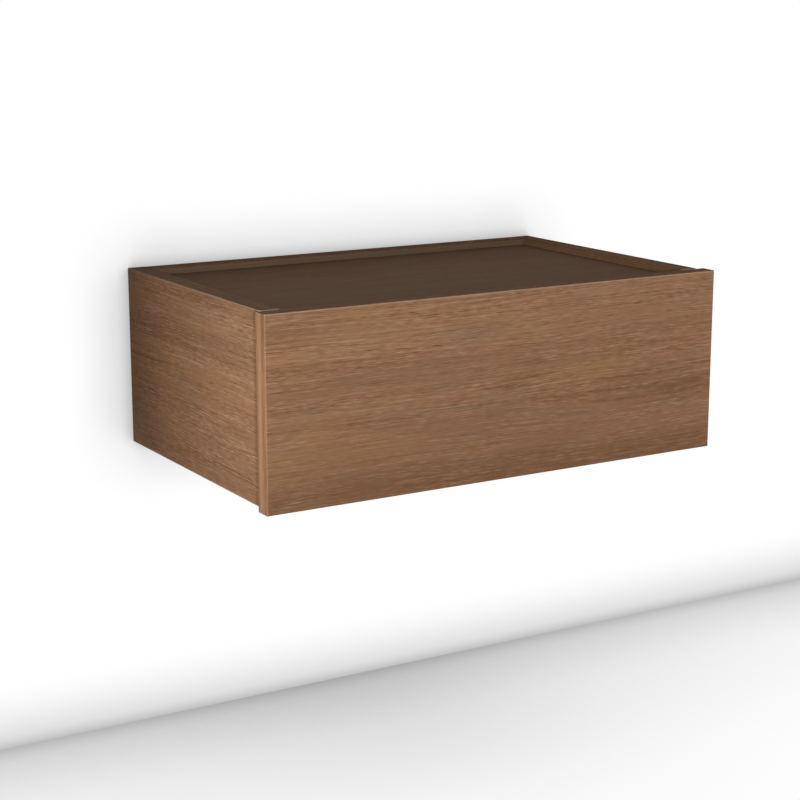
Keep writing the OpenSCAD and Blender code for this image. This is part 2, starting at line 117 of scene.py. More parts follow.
def board_place(tree, axes, cut=0.0):
    """Place on a board: along the grain, across it and through the board.

    axes names the object's axes in that order, and cut is how far along the log the board was
    cut, so that no two boards show the same figure.
    """
    place = add(tree, "ShaderNodeTexCoord").outputs["Object"]
    part = add(tree, "ShaderNodeSeparateXYZ", {0: place})
    turned = add(tree, "ShaderNodeCombineXYZ", {i: part.outputs[a] for i, a in enumerate(axes)})
    moved = add(tree, "ShaderNodeVectorMath", {0: turned.outputs[0], 1: (cut, 0, 0)},
                operation="ADD")
    return moved.outputs[0]


def streaks(tree, place, size, detail=2.0, rough=0.5):
    """Noise stretched to size, which is its length, width and thickness."""
    scaled = add(tree, "ShaderNodeVectorMath", {0: place, 1: size}, operation="DIVIDE")
    sockets = {"Vector": scaled.outputs[0], "Scale": 1.0, "Detail": detail, "Roughness": rough}
    return add(tree, "ShaderNodeTexNoise", sockets).outputs["Fac"]


def weighted(tree, start, layers):
    """start plus the sum of weight * (layer - 0.5)."""
    total = start
    for layer, weight in layers:
        centred = add(tree, "ShaderNodeMath", {0: layer, 1: 0.5}, operation="SUBTRACT")
        sockets = {0: centred.outputs[0], 1: weight, 2: total}
        total = add(tree, "ShaderNodeMath", sockets, operation="MULTIPLY_ADD").outputs[0]
    return total


def tinted(tree, colour, tint, by, none, full, most=1.0, curve="LINEAR"):
    """Colour with tint worked in: none where by is at none, and the share most at full."""
    sockets = {0: by, 1: none, 2: full, 3: 0.0, 4: most}
    share = add(tree, "ShaderNodeMapRange", sockets, interpolation_type=curve)
    sockets = {0: share.outputs[0], 6: colour, 7: tint}
    return add(tree, "ShaderNodeMix", sockets, data_type="RGBA").outputs[2]


class ShelfFinish(PropertyGroup):
    """Colours, grain sizes and contrasts of the finishes."""

    walnut_dark: FloatVectorProperty(
        name="Walnut Latewood", subtype="COLOR", default=linear("5E432F"), min=0, max=1,
        description="Darkest streaks of the oiled walnut veneer")
    walnut: FloatVectorProperty(
        name="Walnut", subtype="COLOR", default=linear("8B674C"), min=0, max=1,
        description="Middle tone of the oiled walnut veneer")
    walnut_light: FloatVectorProperty(
        name="Walnut Earlywood", subtype="COLOR", default=linear("B98E6A"), min=0, max=1,
        description="Lightest streaks of the oiled walnut veneer")
    walnut_red: FloatVectorProperty(
        name="Walnut Red Tint", subtype="COLOR", default=linear("975F48"), min=0, max=1,
        description="Warm patches in the walnut veneer")
    walnut_grey: FloatVectorProperty(
        name="Walnut Grey Tint", subtype="COLOR", default=linear("7F6A56"), min=0, max=1,
        description="Cool patches in the walnut veneer")
    walnut_ochre: FloatVectorProperty(
        name="Walnut Ochre Tint", subtype="COLOR", default=linear("9E774E"), min=0, max=1,
        description="Yellowish patches in the walnut veneer")
    streak_deep: FloatVectorProperty(
        name="Sunk Streaks", subtype="COLOR", default=linear("664227"), min=0, max=1,
        description="Darkest of the fine streaks along the grain")
    streak_pale: FloatVectorProperty(
        name="Raised Streaks", subtype="COLOR", default=linear("B08C70"), min=0, max=1,
        description="Palest of the fine streaks along the grain")
    # Pale streak of the edge bands, also used as painted light on the inner faces of the sides
    sapwood_and_rim_light: FloatVectorProperty(
        name="Edge Band Streak and Rim Light", subtype="COLOR", default=linear("B08A63"), min=0, max=1,
        description="Pale streak along the edge bands, and painted light on the inner faces of the sides")
    # Colour of the painted highlight along arrises
    arris_highlight: FloatVectorProperty(
        name="Arris Highlight", subtype="COLOR", default=linear("D2BCAA"), min=0, max=1,
        description="Pale line of painted highlight on an arris")
    chipboard: FloatVectorProperty(
        name="Particle Board", subtype="COLOR", default=linear("C4A57C"), min=0, max=1,
        description="Raw board on the edges against the wall")
    birch: FloatVectorProperty(
        name="Birch", subtype="COLOR", default=linear("DCC29A"), min=0, max=1,
        description="Face of the birch plywood")
    birch_core: FloatVectorProperty(
        name="Birch Cross Ply", subtype="COLOR", default=linear("A9814F"), min=0, max=1,
        description="End grain of the cross plies, seen on cut edges")
    beech: FloatVectorProperty(
        name="Beech", subtype="COLOR", default=linear("C79B6B"), min=0, max=1,
        description="Raw beech of the dowels")
    zinc: FloatVectorProperty(
        name="Zinc", subtype="COLOR", default=linear("BDBFC1"), min=0, max=1,
        description="Die-cast zinc of the cam locks")
    plating: FloatVectorProperty(
        name="Zinc Plating", subtype="COLOR", default=linear("CFD2D4"), min=0, max=1,
        description="Bright zinc plating on rails, cages, bolts and screws")
    ball_steel: FloatVectorProperty(
        name="Ball Steel", subtype="COLOR", default=linear("D8D9DA"), min=0, max=1,
        description="Polished bearing balls")
    rubber: FloatVectorProperty(
        name="Rubber", subtype="COLOR", default=linear("262627"), min=0, max=1,
        description="Moulded rubber of bumpers and stops")
    ring_width: FloatProperty(
        name="Ring Width", default=9 * MM, min=2 * MM, max=40 * MM, unit="LENGTH",
        description="Distance between growth rings across the veneer")
    line_spacing: FloatProperty(
        name="Latewood Line Spacing", default=2.4 * MM, min=1 * MM, max=10 * MM, unit="LENGTH",
        description="Distance between the close dark lines along the veneer")
    streak_width: FloatProperty(
        name="Streak Width", default=1.2 * MM, min=0.4 * MM, max=6 * MM, unit="LENGTH",
        description="Width of the fine streaks across the grain")
    streak_length: FloatProperty(
        name="Streak Length", default=65 * MM, min=5 * MM, max=300 * MM, unit="LENGTH",
        description="Length of the fine streaks along the grain")
    ply_width: FloatProperty(
        name="Ply Thickness", default=1.3 * MM, min=0.8 * MM, max=3 * MM, unit="LENGTH",
        description="Thickness of one birch ply")
    zone_contrast: FloatProperty(
        name="Zone Contrast", default=0.30, min=0, max=2, subtype="FACTOR",
        description="How strongly the broad growth zones of the veneer show")
    ring_contrast: FloatProperty(
        name="Ring Contrast", default=0.26, min=0, max=2, subtype="FACTOR",
        description="How strongly the growth rings of the veneer show")
    hue_contrast: FloatProperty(
        name="Hue Contrast", default=0.30, min=0, max=1, subtype="FACTOR",
        description="How far the veneer's patches lean to red, grey or ochre")
    line_contrast: FloatProperty(
        name="Latewood Line Contrast", default=0.17, min=0, max=2, subtype="FACTOR",
        description="How strongly the close dark lines of the veneer show")
    streak_contrast: FloatProperty(
        name="Streak Contrast", default=0.92, min=0, max=2, subtype="FACTOR",
        description="How strongly the fine streaks of the veneer show")
    pore_contrast: FloatProperty(
        name="Pore Contrast", default=0.81, min=0, max=2, subtype="FACTOR",
        description="How strongly the pores of the veneer show")


class ShelfStage(PropertyGroup):
    """Camera, lamps and backdrop."""

    view_azimuth: FloatProperty(
        name="View Azimuth", default=math.radians(-30.927), subtype="ANGLE",
        description="Direction of the camera round the shelf, from straight in front")
    view_elevation: FloatProperty(
        name="View Elevation", default=math.radians(12.563), subtype="ANGLE",
        description="Height angle of the camera above the shelf")
    camera_place: FloatVectorProperty(
        name="Camera Place", default=(-0.9432, -1.6983, 0.3590), subtype="TRANSLATION",
        description="Place of the camera")
    lens: FloatProperty(
        name="Focal Length", default=82.148, min=10, max=300, unit="CAMERA",
        description="Focal length on a 36 mm wide sensor")
    floor_level: FloatProperty(
        name="Floor Level", default=-0.393, unit="LENGTH",
        description="Height of the floor, below the shelf")
    key_power: FloatProperty(
        name="Key Lamp", default=21.5, min=0, unit="POWER",
        description="Lamp in front of the shelf, on its left and above it")
    level_power: FloatProperty(
        name="Level Lamp", default=16.8, min=0, unit="POWER",
        description="Lamp straight in front of the shelf, level with it")
    top_power: FloatProperty(
        name="Top Lamp", default=2.9, min=0, unit="POWER",
        description="Weak lamp high above the front of the shelf")
    side_power: FloatProperty(
        name="Side Lamps", default=0.52, min=0, unit="POWER",
        description="Small lamp close to each side panel")
    back_power: FloatProperty(
        name="Back Lamp", default=25.0, min=0, unit="POWER",
        description="Lamp behind the wall, which only lights the back")
    ambient: FloatProperty(
        name="Ambient Light", default=0.07, min=0, max=2, description="Strength of the world's light")


def flow(tree, place, flame, bend=1.0):
    """Place that follows the grain, which runs straight, wavers a little and parts at a flame.

    flame is where along the board the grain starts to part and where it has parted, its middle
    across the board, how far it has moved aside by then, and how far from the middle it moves
    most. bend is the share of that move that is followed.
    """
    part = add(tree, "ShaderNodeSeparateXYZ", {0: place})
    sag = streaks(tree, place, (220 * MM, 70 * MM, 70 * MM), detail=1.0)
    across = weighted(tree, part.outputs["Y"], [(sag, 10 * MM)])
    if flame:
        start, end, middle, spread, half_width = flame
        away = add(tree, "ShaderNodeMath", {0: across, 1: middle}, operation="SUBTRACT")
        away = add(tree, "ShaderNodeMath", {0: away.outputs[0], 1: half_width}, operation="DIVIDE")
        square = add(tree, "ShaderNodeMath", {0: away.outputs[0], 1: away.outputs[0], 2: 1.0},
                     operation="MULTIPLY_ADD")
        pull = add(tree, "ShaderNodeMath", {0: away.outputs[0], 1: square.outputs[0]},
                   operation="DIVIDE")
        sockets = {0: part.outputs["X"], 1: start, 2: end, 3: 0.0, 4: -2 * spread * bend}
        grown = add(tree, "ShaderNodeMapRange", sockets, interpolation_type="SMOOTHSTEP")
        across = add(tree, "ShaderNodeMath", {0: pull.outputs[0], 1: grown.outputs[0], 2: across},
                     operation="MULTIPLY_ADD").outputs[0]
    # A slant through the board keeps the streaks from lining up in rows
    through = weighted(tree, part.outputs["Z"], [(part.outputs["Y"], 0.5)])
    sockets = {0: part.outputs["X"], 1: across, 2: through}
    return add(tree, "ShaderNodeCombineXYZ", sockets).outputs[0]


def distance(tree, place, axis, middle):
    """Distance from middle on one axis of place."""
    part = add(tree, "ShaderNodeSeparateXYZ", {0: place})
    away = add(tree, "ShaderNodeMath", {0: part.outputs[axis], 1: middle}, operation="SUBTRACT")
    return add(tree, "ShaderNodeMath", {0: away.outputs[0]}, operation="ABSOLUTE").outputs[0]


def striped(tree, place, colour, axis, middle, half_width, tint, most):
    """Colour with tint worked into a soft stripe, at middle on one axis of place."""
    away = distance(tree, place, axis, middle)
    return tinted(tree, colour, tint, away, half_width, 0.0, most, "SMOOTHSTEP")


def patched(tree, place, colour, middle, half_size, tint, most):
    """Colour with tint worked into a soft oval patch, placed along and across the grain."""
    away = add(tree, "ShaderNodeVectorMath", {0: place, 1: (*middle, 0)}, operation="SUBTRACT")
    scale = [1 / half for half in half_size]
    scaled = add(tree, "ShaderNodeVectorMath", {0: away.outputs[0], 1: (*scale, 0)},
                 operation="MULTIPLY")
    far = add(tree, "ShaderNodeVectorMath", {0: scaled.outputs[0]}, operation="LENGTH")
    return tinted(tree, colour, tint, far.outputs["Value"], 1.0, 0.0, most, "SMOOTHSTEP")


def latewood_lines(tree, look, fibre):
    """Close lines, 2 to 3 mm apart, that drift towards and away from each other."""
    spacings_of_drift = 5.0
    drift = streaks(tree, fibre, (400 * MM, look.ring_width, 50 * MM), detail=1.0)
    across = add(tree, "ShaderNodeSeparateXYZ", {0: fibre}).outputs["Y"]
    turns = add(tree, "ShaderNodeMath", {0: across, 1: look.line_spacing}, operation="DIVIDE")
    turns = weighted(tree, turns.outputs[0], [(drift, spacings_of_drift)])
    half = add(tree, "ShaderNodeMath", {0: turns, 1: 0.5}, operation="PINGPONG")
    return add(tree, "ShaderNodeMath", {0: half.outputs[0], 1: 2.0}, operation="MULTIPLY").outputs[0]


def fine_figure(tree, look, board, fibre, contrast, calm):
    """Latewood lines, fine streaks and pores of a leaf, from 0 where sunk to 1 where raised."""
    line = latewood_lines(tree, look, fibre)
    streak = streaks(tree, fibre, (look.streak_length, look.streak_width, 20 * MM), rough=0.8)
    # Pores are about 0.2 mm wide in real walnut. They are drawn wider here, so that they show.
    pore = streaks(tree, fibre, (10 * MM, 0.7 * look.streak_width, 10 * MM), detail=1.0)
    level = weighted(tree, 0.0, [
        (line, look.line_contrast * contrast), (streak, look.streak_contrast * contrast),
        (pore, look.pore_contrast * contrast)])
    # Strong streaks are drawn bolder still, so that most stay faint
    faint, gain = 0.8, 1.2
    size = add(tree, "ShaderNodeMath", {0: level}, operation="ABSOLUTE")
    bold = add(tree, "ShaderNodeMath", {0: size.outputs[0], 1: gain, 2: faint},
               operation="MULTIPLY_ADD")
    level = add(tree, "ShaderNodeMath", {0: level, 1: bold.outputs[0]}, operation="MULTIPLY")
    # Quiet and lively places follow each other along the leaf
    quiet, lively = 0.55, 1.45
    busy = streaks(tree, fibre, (120 * MM, 2 * look.ring_width, 100 * MM), detail=1.0)
    busy = add(tree, "ShaderNodeMapRange", {0: busy, 1: 0.3, 2: 0.7, 3: quiet, 4: lively})
    if calm:
        middle, half_width, least = calm
        sockets = {0: distance(tree, board, "Y", middle), 1: 0.0, 2: half_width, 3: least, 4: 1.0}
        hush = add(tree, "ShaderNodeMapRange", sockets, interpolation_type="SMOOTHSTEP")
        busy = add(tree, "ShaderNodeMath", {0: busy.outputs[0], 1: hush.outputs[0]},
                   operation="MULTIPLY")
    return add(tree, "ShaderNodeMath", {0: level.outputs[0], 1: busy.outputs[0], 2: 0.5},
               operation="MULTIPLY_ADD").outputs[0]


def veneer(tree, look, axes, cut=0.0, flame=None, stripes=(), arcs=(), patches=(), lines=(),
           tone=0.0, contrast=1.0, calm=None):
    """Colour and relief of one leaf of sliced walnut veneer.

    The eye sees broad growth zones that lean from umber to ochre, faint patches that lean to
    red, grey or ochre, and fine straight streaks, raised and sunk, most of them faint and a few
    bold. stripes and the shorter arcs follow the grain, patches lie along and across the board,
    and lines run straight along an edge, in the object's axes. Stripes and lines are given as
    striped takes them, and arcs and patches as patched does. calm is where across the board the
    streaks are weakest, how far that reaches, and the share of them that stays there.
    """
    board = board_place(tree, axes, cut)
    grain = flow(tree, board, flame)
    # Growth rings turn back at a flame, but the pores and fibres only bend round it
    fibre = flow(tree, board, flame, bend=0.4) if flame else grain
    zone = streaks(tree, grain, (800 * MM, 5 * look.ring_width, 200 * MM), detail=1.0)
    ring = streaks(tree, grain, (600 * MM, look.ring_width, 80 * MM), detail=1.0, rough=0.7)
    broad = weighted(tree, 0.5 + tone, [
        (zone, look.zone_contrast * contrast), (ring, look.ring_contrast * contrast)])
    colour = tinted(tree, look.walnut, look.walnut_light, broad, none=0.5, full=1.0)
    colour = tinted(tree, colour, look.walnut_dark, broad, none=0.5, full=0.0)
    warmth = streaks(tree, grain, (60 * MM, 1.6 * look.ring_width, 60 * MM))
    cloud = streaks(tree, grain, (90 * MM, 2.2 * look.ring_width, 90 * MM))
    for hue, full, tint in ((warmth, 0.8, look.walnut_red), (warmth, 0.2, look.walnut_grey),
                            (cloud, 0.8, look.walnut_ochre)):
        colour = tinted(tree, colour, tint, hue, 0.5, full, look.hue_contrast * contrast)
    for stripe in stripes:
        colour = striped(tree, grain, colour, *stripe)
    for course, spots in ((grain, arcs), (board, patches)):
        for (along, across), *spot in spots:
            colour = patched(tree, course, colour, (along + cut, across), *spot)
    relief = fine_figure(tree, look, board, fibre, contrast, calm)
    colour = tinted(tree, colour, look.streak_pale, relief, none=0.5, full=1.0)
    colour = tinted(tree, colour, look.streak_deep, relief, none=0.5, full=0.0)
    place = add(tree, "ShaderNodeTexCoord").outputs["Object"]
    for line in lines:
        colour = striped(tree, place, colour, *line)
    return colour, relief


def walnut(name, look, leaf, cover=None, raw_edge=None, shade=0.0, gloss=0.05):
    """Walnut veneer or edge band, sanded and oiled: matt, with short open pores along the grain.

    cover is a second leaf that laps over an arris, with the axis and the two places between
    which it takes over. raw_edge is the axis and the place of an edge that shows the particle
    board under the veneer. shade is the share of painted shade in the corners, where ambient
    occlusion finds near surfaces, and gloss is how much the oil has built up.
    """
    made, tree = new_material(name)
    place = add(tree, "ShaderNodeTexCoord").outputs["Object"]
    colour, relief = veneer(tree, look, **leaf)
    if raw_edge:
        chip = 2.5 * MM
        edge_depth = 0.4 * MM
        chips = streaks(tree, place, (chip, chip, chip), detail=3.0, rough=0.7)
        core = tinted(tree, toned(look.chipboard, 0.5), look.chipboard, chips, none=0.35, full=0.6)
        colour = striped(tree, place, colour, *raw_edge, edge_depth, core, most=1.0)
    if cover:
        over, axis, inner, outer = cover
        face, relief = veneer(tree, look, **over)
        part = add(tree, "ShaderNodeSeparateXYZ", {0: place})
        colour = tinted(tree, colour, face, part.outputs[axis], inner, outer)
    # Painted shade in the corners, from ambient occlusion
    if shade:
        corner_reach = 110 * MM
        corner = add(tree, "ShaderNodeAmbientOcclusion", {"Distance": corner_reach}, samples=8)
        colour = tinted(tree, colour, BLACK, corner.outputs["AO"], none=1.0, full=0.5, most=shade)
    # Raised streaks have been worn a little smoother than sunk ones
    sunk, raised = 0.84, 0.76
    rough = add(tree, "ShaderNodeMapRange", {0: relief, 1: 0.2, 2: 0.8, 3: sunk, 4: raised})
    surface(tree, {"Base Color": colour, "Roughness": rough.outputs[0], "IOR": 1.5,
                   "Specular IOR Level": gloss}, relief, strength=0.25, depth=0.15 * MM)
    return made


def birch_plywood(name, look, axes, outer, inner):
    """Birch plywood, pressed from an odd number of thin plies, sanded and clear-lacquered.

    The faces are pale with faint long streaks, and cut edges show the plies as stripes. outer and
    inner are the places of the two faces through the board.
    """
    made, tree = new_material(name)
    place = board_place(tree, axes)
    part = add(tree, "ShaderNodeSeparateXYZ", {0: place})
    plies = 2 * round(((inner - outer) / look.ply_width - 1) / 2) + 1
    # Pairs of plies through the board, from a quarter into the first ply to a quarter short of
    # the end of the last, so that the wavering glue lines never cross a face
    sockets = {0: part.outputs["Z"], 1: outer, 2: inner, 3: 0.125, 4: plies / 2 - 0.125}
    turns = add(tree, "ShaderNodeMapRange", sockets)
    waver = streaks(tree, place, (50 * MM, 50 * MM, 50 * MM), detail=1.0)
    turns = weighted(tree, turns.outputs[0], [(waver, 0.12)])
    phase = add(tree, "ShaderNodeMath", {0: turns}, operation="FRACT")
    grain = streaks(tree, place, (120 * MM, 4 * MM, 4 * MM), detail=4.0, rough=0.6)
    dull, bright = toned(look.birch, 0.86), toned(look.birch, 1.06)
    face = tinted(tree, dull, bright, grain, none=0.3, full=0.7)
    fleck = streaks(tree, place, (5 * MM, 0.7 * MM, 0.7 * MM), detail=1.0)
    face = tinted(tree, face, look.birch_core, fleck, none=0.62, full=0.75, most=0.25)
    # The second half of each pair of plies is a cross ply
    colour = tinted(tree, face, look.birch_core, phase.outputs[0], none=0.46, full=0.54)
    surface(tree, {"Base Color": colour, "Roughness": 0.5, "IOR": 1.5,
                   "Specular IOR Level": 0.35}, grain, strength=0.15, depth=0.1 * MM)
    return made


def beech_wood(look):
    """Raw turned beech: pale brown with short darker ray flecks."""
    made, tree = new_material("raw_beech")
    place = add(tree, "ShaderNodeTexCoord").outputs["Object"]
    fleck = streaks(tree, place, (3 * MM, 0.8 * MM, 0.8 * MM))
    colour = tinted(tree, toned(look.beech, 0.7), look.beech, fleck, none=0.35, full=0.6)
    surface(tree, {"Base Color": colour, "Roughness": 0.7, "IOR": 1.5,
                   "Specular IOR Level": 0.3}, fleck, strength=0.3, depth=0.1 * MM)
    return made


def metal(name, colour, rough, spread, grain, strength):
    """Metal whose roughness varies by spread over a grain, with a relief of this strength."""
    made, tree = new_material(name)
    place = add(tree, "ShaderNodeTexCoord").outputs["Object"]
    pattern = streaks(tree, place, grain, detail=3.0)
    tone = tinted(tree, toned(colour, 0.88), colour, pattern, none=0.3, full=0.7)
    sockets = {0: pattern, 1: 0.25, 2: 0.75, 3: rough - spread, 4: rough + spread}
    gloss = add(tree, "ShaderNodeMapRange", sockets)
    surface(tree, {"Base Color": tone, "Metallic": 1.0, "Roughness": gloss.outputs[0]},
            pattern, strength, depth=0.05 * MM)
    return made


def moulded_rubber(look):
    """Moulded rubber: near black and matt, with a fine grainy skin."""
    made, tree = new_material("moulded_rubber")
    place = add(tree, "ShaderNodeTexCoord").outputs["Object"]
    skin = streaks(tree, place, (0.6 * MM, 0.6 * MM, 0.6 * MM))
    colour = tinted(tree, toned(look.rubber, 0.7), look.rubber, skin, none=0.3, full=0.7)
    surface(tree, {"Base Color": colour, "Roughness": 0.75, "IOR": 1.52,
                   "Specular IOR Level": 0.4}, skin, strength=0.3, depth=0.05 * MM)
    return made


class SHELF_OT_carcass(Operator):
    """Veneers the five carcass boards in walnut, each with its own grain"""

    bl_idname = "shelf.carcass"
    bl_label = "Carcass Boards"

    def execute(self, context):
        look = context.scene.shelf_finish
        left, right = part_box("left_side"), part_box("right_side")
        front = left[0].y
        # The sides have painted shade towards the wall and a painted shadow close behind the drawer
        # front. Their inner faces, which show as low rims round the tray, are paler as painted light.
        side_lines = [("Y", WALL, 110 * MM, BLACK, 0.34), ("Y", front + 6 * MM, 10 * MM, BLACK, 0.42),
                      ("X", left[1].x, 0.5 * MM, look.sapwood_and_rim_light, 0.4),
                      ("X", right[0].x, 0.5 * MM, look.sapwood_and_rim_light, 0.4)]
        # The left side has an ochre stripe at half height with a dark one above it, a small dark
        # mark near the middle, a dim place near the top, and a light corner below at the wall
        boards = {
            "left_side": {
                "axes": "YZX", "cut": 0.4, "lines": side_lines,
                "stripes": [("Y", 0.0, 26 * MM, look.walnut_ochre, 0.2),
                            ("Y", 40 * MM, 26 * MM, look.walnut_dark, 0.2)],
                "patches": [((-192 * MM, 7 * MM), (5 * MM, 2 * MM), look.walnut_dark, 0.7),
                            ((-110 * MM, 62 * MM), (100 * MM, 45 * MM), look.walnut_dark, 0.16),
                            ((WALL, -88 * MM), (50 * MM, 45 * MM), look.walnut_light, 0.45)]},
            "right_side": {"axes": "YZX", "cut": 1.7, "lines": side_lines},
            # The tray is toned darker as painted shade, and is paler and greyer towards the front. It
            # has painted shade towards the wall and in its corners.
            "top_panel": {"axes": "XYZ", "cut": 3.1, "contrast": 0.42, "tone": -0.28,
                          "lines": [("Y", front, 200 * MM, look.walnut_grey, 0.34),
                                    ("Y", WALL, 170 * MM, BLACK, 0.14)]},
            "bottom_panel": {"axes": "XYZ", "cut": 4.3},
            "back_panel": {"axes": "XZY", "cut": 5.7, "contrast": 0.7, "lines": [
                ("Y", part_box("back_panel")[0].y, 0.5 * MM, look.walnut_grey, 0.7)]},
        }
        finishes = {"left_side": {"raw_edge": ("Y", left[1].y)},
                    "right_side": {"raw_edge": ("Y", right[1].y)},
                    "top_panel": {"shade": 0.38, "gloss": 0.09}}
        for name, leaf in boards.items():
            put_on([name], walnut(f"walnut_veneer_{name}", look, leaf, **finishes.get(name, {})))
        return {"FINISHED"}


class SHELF_OT_carcass_bands(Operator):
    """Gives the carcass its walnut edge bands, with the grain along each band"""

    bl_idname = "shelf.carcass_bands"
    bl_label = "Carcass Edge Bands"

    def execute(self, context):
        look = context.scene.shelf_finish
        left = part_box("left_side")[0]
        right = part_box("right_side")[1]
        # The arrises on the near side have a painted highlight. The bands have painted shade towards
        # the wall, and the deep bands are darker towards the right, as painted shade, and greyer near
        # the left.
        upright = walnut("walnut_band_upright", look, {"axes": "ZXY", "cut": 7.1, "lines": [
            ("Z", right.z, 2.5 * MM, look.arris_highlight, 0.9)]})
        deep = walnut("walnut_band_deep", look, {"axes": "YXZ", "cut": 8.1, "lines": [
            ("X", left.x + 10 * MM, 40 * MM, look.walnut_grey, 0.4),
            ("X", left.x, 1.8 * MM, look.arris_highlight, 0.25), ("X", right.x, 14 * MM, BLACK, 0.42),
            ("Y", WALL, 150 * MM, BLACK, 0.37)]})
        level = walnut("walnut_band_level", look, {"axes": "XYZ", "cut": 9.1, "lines": [
            ("Y", WALL, 90 * MM, BLACK, 0.36)]})
        for side in ("left", "right"):
            put_on([f"{side}_side_front_band"], upright)
            put_on([f"{side}_side_top_band", f"{side}_side_bottom_band"], deep)
        put_on(["top_panel_front_band", "bottom_panel_front_band", "back_panel_top_band",
                "back_panel_bottom_band"], level)
        return {"FINISHED"}


class SHELF_OT_drawer_front(Operator):
    """Veneers the drawer front, over the front arrises of its four edge bands"""

    bl_idname = "shelf.drawer_front"
    bl_label = "Drawer Front"

    def execute(self, context):
        look = context.scene.shelf_finish
        low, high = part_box("drawer_front_left_band")
        thick = high.y - low.y
        # Towards the right the grain parts round a flame, which has a dark arc in it. The leaf is
        # darker and calmer towards its lower edge, a little lighter below its upper edge, and has
        # a few dark, ochre and grey places. Its upper arris has a painted highlight; its left is
        # paler.
        flame_height = -16 * MM
        leaf = {"axes": "XZY", "flame": (-20 * MM, 130 * MM, flame_height, 12 * MM, 15 * MM),
                "calm": (low.z, 150 * MM, 0.62),
                "stripes": [("Y", low.z, 60 * MM, look.walnut_dark, 0.46),
                            ("Y", high.z - 22 * MM, 40 * MM, look.walnut_light, 0.06)],
                "arcs": [((150 * MM, flame_height), (110 * MM, 1.6 * MM), look.walnut_dark, 0.5)],
                "patches": [((215 * MM, -24 * MM), (90 * MM, 18 * MM), look.walnut_dark, 0.35),
                            ((90 * MM, 4 * MM), (120 * MM, 22 * MM), look.walnut_ochre, 0.35),
                            ((-40 * MM, 54 * MM), (60 * MM, 14 * MM), look.walnut_grey, 0.4),
                            ((-50 * MM, -15 * MM), (80 * MM, 12 * MM), look.walnut_grey, 0.4),
                            ((-240 * MM, 70 * MM), (80 * MM, 28 * MM), look.walnut_dark, 0.25)],
                "lines": [("Z", high.z, 1.8 * MM, look.arris_highlight, 0.4),
                          ("X", low.x, 1.6 * MM, look.sapwood_and_rim_light, 0.25)]}
        put_on(["drawer_front"], walnut("walnut_veneer_front", look, leaf))
        # The veneer laps over the bands' front arrises by a little less than a millimetre
        cover = (leaf, "Y", low.y + 1.0 * MM, low.y + 0.6 * MM)
        # A pale streak runs along the upright bands, a little behind the middle of their width
        side_leaf = {"axes": "ZYX", "cut": 3.0, "tone": -0.06, "lines": [
            ("Y", low.y + 0.61 * thick, 0.31 * thick, look.sapwood_and_rim_light, 0.5)]}
        put_on(["drawer_front_left_band", "drawer_front_right_band"], walnut(
            "walnut_band_front_upright", look, side_leaf, cover=cover))
        put_on(["drawer_front_top_band", "drawer_front_bottom_band"], walnut(
            "walnut_band_front_level", look, {"axes": "XYZ", "cut": 11.1}, cover=cover))
        return {"FINISHED"}


class SHELF_OT_drawer_box(Operator):
    """Finishes the plywood boards of the drawer box"""

    bl_idname = "shelf.drawer_box"
    bl_label = "Drawer Box"

    def execute(self, context):
        look = context.scene.shelf_finish
        boards = {"drawer_left_side": "YZX", "drawer_right_side": "YZX", "drawer_inner_front": "XZY",
                  "drawer_back": "XZY", "drawer_bottom": "XYZ"}
        for name, axes in boards.items():
            through = "XYZ".index(axes[2])
            outer, inner = (corner[through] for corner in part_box(name))
            put_on([name], birch_plywood(f"birch_plywood_{name}", look, axes, outer, inner))
        return {"FINISHED"}


class SHELF_OT_slides(Operator):
    """Finishes the two ball-bearing slides"""

    bl_idname = "shelf.slides"
    bl_label = "Slides"

    def execute(self, context):
        look = context.scene.shelf_finish
        # Zinc-plated cold-rolled steel: bright and slightly bluish, with faint lines along the rail
        rails = metal("zinc_plated_steel", look.plating, rough=0.32, spread=0.07,
                      grain=(0.4 * MM, 50 * MM, 0.4 * MM), strength=0.1)
        # Stamped plated sheet: duller than the rails, with a fine all-over grain
        cages = metal("stamped_plated_sheet", toned(look.plating, 0.8), rough=0.42, spread=0.06,
                      grain=(1.5 * MM, 1.5 * MM, 1.5 * MM), strength=0.15)
        # Ground and lapped chrome steel: near mirror
        balls = metal("lapped_chrome_steel", look.ball_steel, rough=0.09, spread=0.02,
                      grain=(MM, MM, MM), strength=0.02)
        for side in ("left", "right"):
            put_on([f"{side}_{rail}_rail" for rail in ("outer", "middle", "inner")], rails)
            put_on([f"{side}_{row}_cage" for row in ("outer", "inner")], cages)
            put_on([f"{side}_{row}_balls" for row in ("outer", "inner")], balls)
        put_on(["outer_rail_screws", "inner_rail_screws"], rails)
        put_on(["rail_stops"], moulded_rubber(look))
        return {"FINISHED"}


class SHELF_OT_fittings(Operator):
    """Finishes the cam locks, bolts, dowels, screws and bumpers"""

    bl_idname = "shelf.fittings"
    bl_label = "Fittings"

    def execute(self, context):
        look = context.scene.shelf_finish
        # Die-cast zinc, tumbled: soft grey sheen with a cast grain of about a millimetre
        cast = metal("die_cast_zinc", look.zinc, rough=0.48, spread=0.08,
                     grain=(1.2 * MM, 1.2 * MM, 1.2 * MM), strength=0.3)
        # Turned and zinc-plated steel: fine even sheen
        turned = metal("plated_screw_steel", look.plating, rough=0.36, spread=0.06,
                       grain=(MM, MM, MM), strength=0.08)
        put_on(["cam_locks"], cast)
        put_on(["cam_bolts", "drawer_corner_screws", "drawer_front_screws"], turned)
        put_on(["dowels"], beech_wood(look))
        put_on(["front_bumpers"], moulded_rubber(look))
        return {"FINISHED"}


def looked_at(tree):
    """1 on rays from the eye, a gloss or a glass, and 0 on rays that carry light to the shelf."""
    path = add(tree, "ShaderNodeLightPath")
    sharp = add(tree, "ShaderNodeMath", {0: path.outputs["Is Camera Ray"],
                1: path.outputs["Is Glossy Ray"]}, operation="MAXIMUM")
    return add(tree, "ShaderNodeMath", {0: sharp.outputs[0],
               1: path.outputs["Is Transmission Ray"]}, operation="MAXIMUM").outputs[0]


